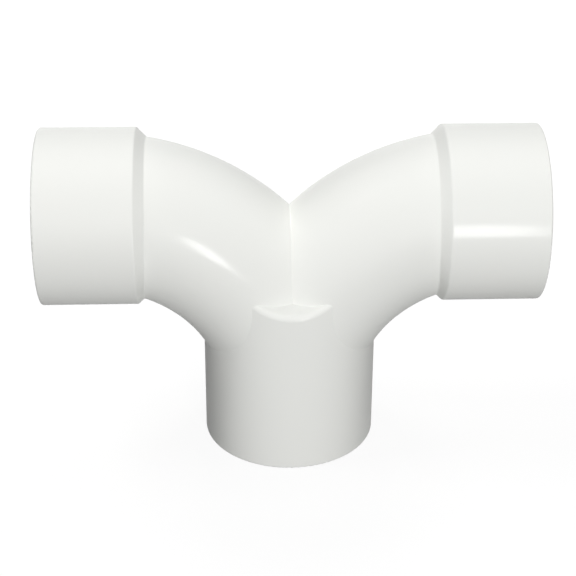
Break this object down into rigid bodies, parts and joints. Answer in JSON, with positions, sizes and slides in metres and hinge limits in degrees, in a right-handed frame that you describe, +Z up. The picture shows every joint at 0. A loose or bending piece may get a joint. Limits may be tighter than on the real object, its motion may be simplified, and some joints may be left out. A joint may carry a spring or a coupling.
{
  "type": "y sweep fitting",
  "caption": "Moulded plastic pipe fitting: level sockets at both ends of the run feed curved arms that sweep down and merge into an upright leg with its own socket.",
  "frame": {"origin": "centre of the leg's mouth, in the plane of its rim, which the fitting stands on", "axes": "+X along the run towards the right-hand socket, +Y towards the back, +Z up along the leg's axis"},
  "size_m": [0.1964, 0.0698, 0.1331],
  "materials": {
    "white_plastic": "white rigid PVC, moulded, smooth with a soft gloss"
  },
  "bodies": {
    "root": {"fitting_body": "white_plastic"}
  },
  "joints": []
}
